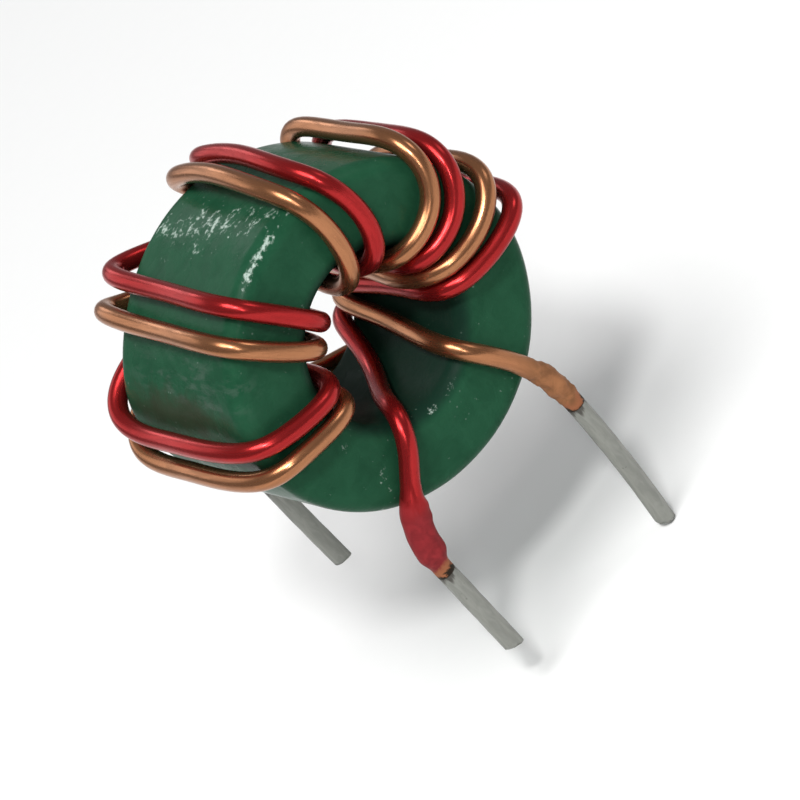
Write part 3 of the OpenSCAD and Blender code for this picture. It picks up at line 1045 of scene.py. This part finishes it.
class CHOKE_OT_make_coat(bpy.types.Operator):
    """Makes the lumpy epoxy coat, spun from its section"""

    bl_idname = "choke.make_coat"
    bl_label = "Make the coat"

    def execute(self, context):
        ring = context.scene.choke_ring
        centre = Vector(ring.centre)
        bm = bmesh.new()
        coat_section(bm, ring, 0)
        for length, cuts in SECTION_CUTS:
            bmesh.ops.subdivide_edges(bm, edges=long_edges(bm, length), cuts=cuts)
        self.spin_section(bm, centre, COAT_STEPS)
        bmesh.ops.recalc_face_normals(bm, faces=bm.faces)
        bm.normal_update()
        # The layer holds the knocks and the painted glints, which the epoxy's colour turns pale.
        scuff_and_glint = bm.verts.layers.float.new("scuff_and_glint")
        for vert in bm.verts:
            place = (vert.co - centre) / MM
            vert[scuff_and_glint] = knocks_and_glints(place)
            vert.co += coat_lean(place) * MM + vert.normal * coat_push(place, ring.lumps)
        self.press_beds(bm, ring, context.scene.choke_wire)
        self.add_inner_wall(bm, ring, centre)
        finished_piece("coat_skin", bm, epoxy_finish(), "epoxy_coat")
        return {"FINISHED"}

    def spin_section(self, bm, centre, steps):
        bmesh.ops.spin(
            bm,
            geom=list(bm.verts) + list(bm.edges),
            cent=centre,
            axis=(0, 1, 0),
            angle=math.tau,
            steps=steps,
            use_merge=True,
        )
        bmesh.ops.remove_doubles(bm, verts=bm.verts, dist=MERGE)

    def press_beds(self, bm, ring, wire):
        """Presses the coat in where it would stand in the way of a wire."""
        lines = wire_lines(ring, wire)
        points = lines["red"] + lines["copper"]
        tree = kdtree.KDTree(len(points))
        for i, point in enumerate(points):
            tree.insert(point, i)
        tree.balance()
        reach = wire.diameter / 2 + BED_GAP
        for vert in bm.verts:
            near, _, far = tree.find(vert.co)
            if far < reach:
                vert.co = near + (vert.co - near) * reach / far

    def add_inner_wall(self, bm, ring, centre):
        """The coat's inside, which lies on the ferrite."""
        wall = bmesh.new()
        coat_section(wall, ring, ring.outer - (CORE_HIGH.x - CORE_LOW.x) / 2)
        self.spin_section(wall, centre, WALL_STEPS)
        bmesh.ops.recalc_face_normals(wall, faces=wall.faces)
        bmesh.ops.reverse_faces(wall, faces=wall.faces)
        mesh = bpy.data.meshes.new("coat_inside")
        wall.to_mesh(mesh)
        wall.free()
        bm.from_mesh(mesh)
        bpy.data.meshes.remove(mesh)


def bead(along, out, at, size, height):
    """A rounded nodule of enamel on one side of a lead."""
    far = ((along - at) / size) ** 2
    turned = out.angle(BEAD_SIDE) * BEAD_ARC / size
    return height * math.exp(-far - turned * turned)


class CHOKE_OT_wind_wires(bpy.types.Operator):
    """Winds the red and the copper wire round the ring, from their front leads to their rear leads"""

    bl_idname = "choke.wind_wires"
    bl_label = "Wind the wires"

    def execute(self, context):
        wire = context.scene.choke_wire
        lines = wire_lines(context.scene.choke_ring, wire)
        red_look = enamel_finish("red_enamel", wire.red, wire.dull_red, 0.8)
        self.make("red", lines["red"], self.red_radius, red_look)
        copper_look = enamel_finish("copper_enamel", wire.copper, wire.dull_copper, 0.9)
        self.make("copper", lines["copper"], self.copper_radius, copper_look)
        return {"FINISHED"}

    def make(self, label, path, radius_at, material):
        bm = bmesh.new()
        total = tube(bm, path, WIRE_SIDES, radius_at) / MM
        skin = bm.verts.layers.float_vector["skin"]
        gap = bm.verts.layers.float.new("end_gap")
        for vert in bm.verts:
            along = vert[skin].z
            vert[gap] = min(along, total - along + REAR_END_GAP)
        finished_piece(label + "_wire", bm, material, label + "_winding")

    def red_radius(self, along, out):
        """Plain wire, with a thick drip of enamel on the front lead."""
        wire = bpy.context.scene.choke_wire
        a = along / MM
        thick = smooth_step(0.55, 1.5, a) * (1 - smooth_step(3.6, 5.6, a))
        radius = wire.diameter / 2 + wire.drip * thick
        if a < LUMPY_LENGTH:
            lump = noise.noise(Vector((1.6 * out.x, 1.6 * out.y, 1.1 * a)))
            radius += 0.05 * MM * thick * lump
            for at, size, height in RED_BEADS:
                radius += bead(along, out, at * MM, size * MM, height * MM)
        return radius

    def copper_radius(self, along, out):
        """Plain wire, with blistered enamel on the front lead."""
        wire = bpy.context.scene.choke_wire
        a = along / MM
        rough = smooth_step(0.3, 1.2, a) * (1 - smooth_step(3.0, 4.5, a))
        radius = wire.diameter / 2 + wire.blister * rough
        if a < LUMPY_LENGTH:
            lump = noise.noise(Vector((1.5 * out.x, 1.5 * out.y, 1.3 * out.z + 1.5 * a)))
            wrinkle = noise.noise(Vector((3.2 * out.x + 5, 3.2 * out.y, 3.0 * a)))
            radius += MM * rough * (0.15 * lump + 0.08 * wrinkle)
        return radius


class CHOKE_OT_tin_leads(bpy.types.Operator):
    """Makes the four tinned lead ends, each dipped, bent a little and cut off at its tip"""

    bl_idname = "choke.tin_leads"
    bl_label = "Tin the leads"

    def execute(self, context):
        material = tin_finish()
        for label, (bow, cut) in LEAD_ENDS.items():
            self.make(label, Vector(bow) * MM, Vector(cut).normalized(), material)
        return {"FINISHED"}

    def make(self, label, bow, cut, material):
        leads = bpy.context.scene.choke_leads
        node = label + "_lead"
        climb = TIN_OVERLAP + (REAR_DIP if label == "red_rear" else 0)
        top = lead_point(node, True) + climb * UP
        tip = lead_point(node, False)
        steps = round((top - tip).length / TIN_STEP)
        path = []
        for i in range(steps + 1):
            t = i / steps
            path.append(mix(top, tip, t) + bow * t * t)
        bm = bmesh.new()
        radius = leads.diameter / 2

        def dipped(along, out):
            a = along / MM
            sink = 0.94 + 0.06 * smooth_step(0.2, 0.5, a)
            return radius * (sink + 0.03 * noise.noise(Vector((out.x, out.y, 0.9 * a + 3))))

        tube(bm, path, WIRE_SIDES, dipped)
        self.cut_tip(bm, tip + bow, cut, leads.tip_edge)
        finished_piece(label + "_tin", bm, material, node)

    def cut_tip(self, bm, tip, cut, edge):
        """Cuts the end off at a slant, closes it and softens its rim."""
        sliced = bmesh.ops.bisect_plane(
            bm,
            geom=list(bm.verts) + list(bm.edges) + list(bm.faces),
            plane_co=tip + TIP_CUT * UP,
            plane_no=-cut,
            clear_outer=True,
        )
        rim = [part for part in sliced["geom_cut"] if isinstance(part, bmesh.types.BMEdge)]
        cap = bmesh.ops.edgeloop_fill(bm, edges=rim)["faces"]
        rim = list({border for face in cap for border in face.edges})
        soften(bm, rim, edge, TIP_STEPS, "EDGES")
        bmesh.ops.recalc_face_normals(bm, faces=bm.faces)


class CHOKE_OT_set_stage(bpy.types.Operator):
    """Sets up the pale floor, the soft lights and the camera"""

    bl_idname = "choke.set_stage"
    bl_label = "Set the stage"

    def execute(self, context):
        self.make_floor()
        self.light_world()
        for name, (place, size, power) in LIGHTS.items():
            self.add_light(name, place, size, power)
        self.add_camera(context.scene.choke_stage)
        context.scene.view_settings.view_transform = "Standard"
        return {"FINISHED"}

    def make_floor(self):
        bm = bmesh.new()
        bmesh.ops.create_circle(bm, cap_ends=True, segments=96, radius=FLOOR_RADIUS)
        bmesh.ops.translate(bm, vec=(0, 0, CAD_BOX[0][2]), verts=bm.verts)
        floor = mesh_object("floor", bm, floor_finish())

    def light_world(self):
        world = bpy.data.worlds.new("studio")
        world.use_nodes = True
        background = world.node_tree.nodes["Background"]
        background.inputs["Color"].default_value = DAYLIGHT
        background.inputs["Strength"].default_value = DAYLIGHT_STRENGTH
        bpy.context.scene.world = world

    def add_light(self, name, place, size, power):
        light = bpy.data.lights.new(name, "AREA")
        light.shape = "DISK"
        light.size = size
        light.energy = power
        lamp = bpy.data.objects.new(name, light)
        lamp.location = place
        lamp.rotation_euler = Vector(place).to_track_quat("Z", "Y").to_euler()
        bpy.context.scene.collection.objects.link(lamp)

    def add_camera(self, stage):
        data = bpy.data.cameras.new("camera")
        data.sensor_width = SENSOR_WIDTH
        data.lens = SENSOR_WIDTH * stage.distance / stage.view_width
        data.clip_start = 0.005
        data.clip_end = 10
        camera = bpy.data.objects.new("camera", data)
        turn = Matrix.Rotation(stage.azimuth, 4, "Z")
        tilt = Matrix.Rotation(math.pi / 2 - stage.elevation, 4, "X")
        roll = Matrix.Rotation(stage.roll, 4, "Z")
        looking = turn @ tilt @ roll
        place = Vector(stage.aim) + stage.distance * looking.col[2].to_3d()
        camera.matrix_world = Matrix.Translation(place) @ looking
        bpy.context.scene.collection.objects.link(camera)
        bpy.context.scene.camera = camera


class CHOKE_PT_panel(bpy.types.Panel):
    """Lists the choke's sizes, colours and steps"""

    bl_idname = "CHOKE_PT_panel"
    bl_label = "Common mode choke"
    bl_space_type = "VIEW_3D"
    bl_region_type = "UI"
    bl_category = "Choke"

    def draw(self, context):
        for label, operators in SECTIONS.items():
            box = self.layout.box()
            group = getattr(context.scene, label)
            for name in group.bl_rna.properties.keys():
                if name not in ("rna_type", "name"):
                    box.prop(group, name)
            for operator in operators:
                box.operator(operator)


SECTIONS = {
    "choke_ring": ("choke.dress_core", "choke.make_coat"),
    "choke_wire": ("choke.wind_wires",),
    "choke_leads": ("choke.tin_leads",),
    "choke_stage": ("choke.set_stage",),
}
GROUPS = {
    "choke_ring": ChokeRing,
    "choke_wire": ChokeWire,
    "choke_leads": ChokeLeads,
    "choke_stage": ChokeStage,
}
CLASSES = (
    CHOKE_OT_dress_core,
    CHOKE_OT_make_coat,
    CHOKE_OT_wind_wires,
    CHOKE_OT_tin_leads,
    CHOKE_OT_set_stage,
    CHOKE_PT_panel,
)


def register():
    for label, group in GROUPS.items():
        bpy.utils.register_class(group)
        setattr(bpy.types.Scene, label, PointerProperty(type=group))
    for item in CLASSES:
        bpy.utils.register_class(item)


def unregister():
    for item in reversed(CLASSES):
        bpy.utils.unregister_class(item)
    for label, group in GROUPS.items():
        delattr(bpy.types.Scene, label)
        bpy.utils.unregister_class(group)


def main():
    register()
    bpy.ops.choke.dress_core()
    bpy.ops.choke.make_coat()
    bpy.ops.choke.wind_wires()
    bpy.ops.choke.tin_leads()
    bpy.ops.choke.set_stage()


if __name__ == "__main__":
    main()
